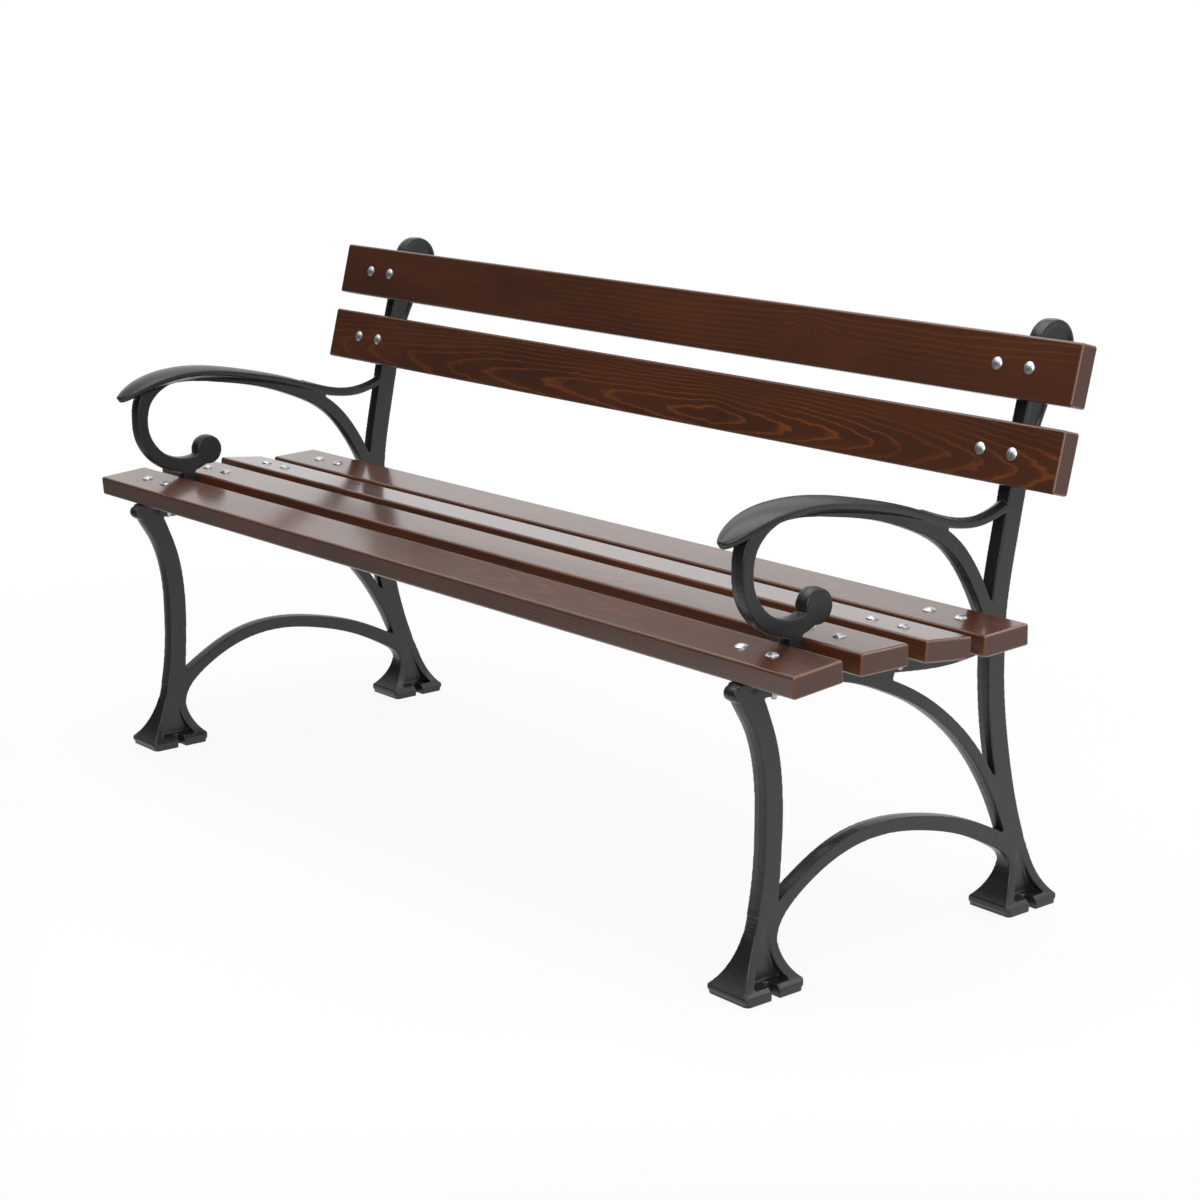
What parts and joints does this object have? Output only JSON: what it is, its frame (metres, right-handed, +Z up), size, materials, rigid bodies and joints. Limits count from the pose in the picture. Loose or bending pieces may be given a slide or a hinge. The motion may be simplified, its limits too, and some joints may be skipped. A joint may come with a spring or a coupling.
{
  "type": "park bench",
  "caption": "Park bench: slatted timber seat and leaning slatted back bolted between scroll-armed cast-iron end frames with arched braces and flared slotted feet.",
  "frame": {"origin": "on the floor under the middle of the bench's bounding box", "axes": "+X along the slats, to the right as seen by someone facing the seat, +Y towards the back, +Z up"},
  "size_m": [1.7, 0.6544, 0.8405],
  "materials": {
    "casting": "satin dark paint over the cast skin",
    "timber": "mahogany stain under satin lacquer",
    "zinc": "bright zinc plating"
  },
  "bodies": {
    "root": {"end_frame_left": "casting", "end_frame_right": "casting", "seat_slat_1": "timber", "seat_slat_2": "timber", "seat_slat_3": "timber", "seat_slat_4": "timber", "back_slat_lower": "timber", "back_slat_upper": "timber", "seat_bolts_left": "zinc", "seat_bolts_right": "zinc", "seat_washers_left": "zinc", "seat_washers_right": "zinc", "seat_nuts_left": "zinc", "seat_nuts_right": "zinc", "back_bolts_left": "zinc", "back_bolts_right": "zinc", "back_washers_left": "zinc", "back_washers_right": "zinc", "back_nuts_left": "zinc", "back_nuts_right": "zinc"}
  },
  "joints": []
}
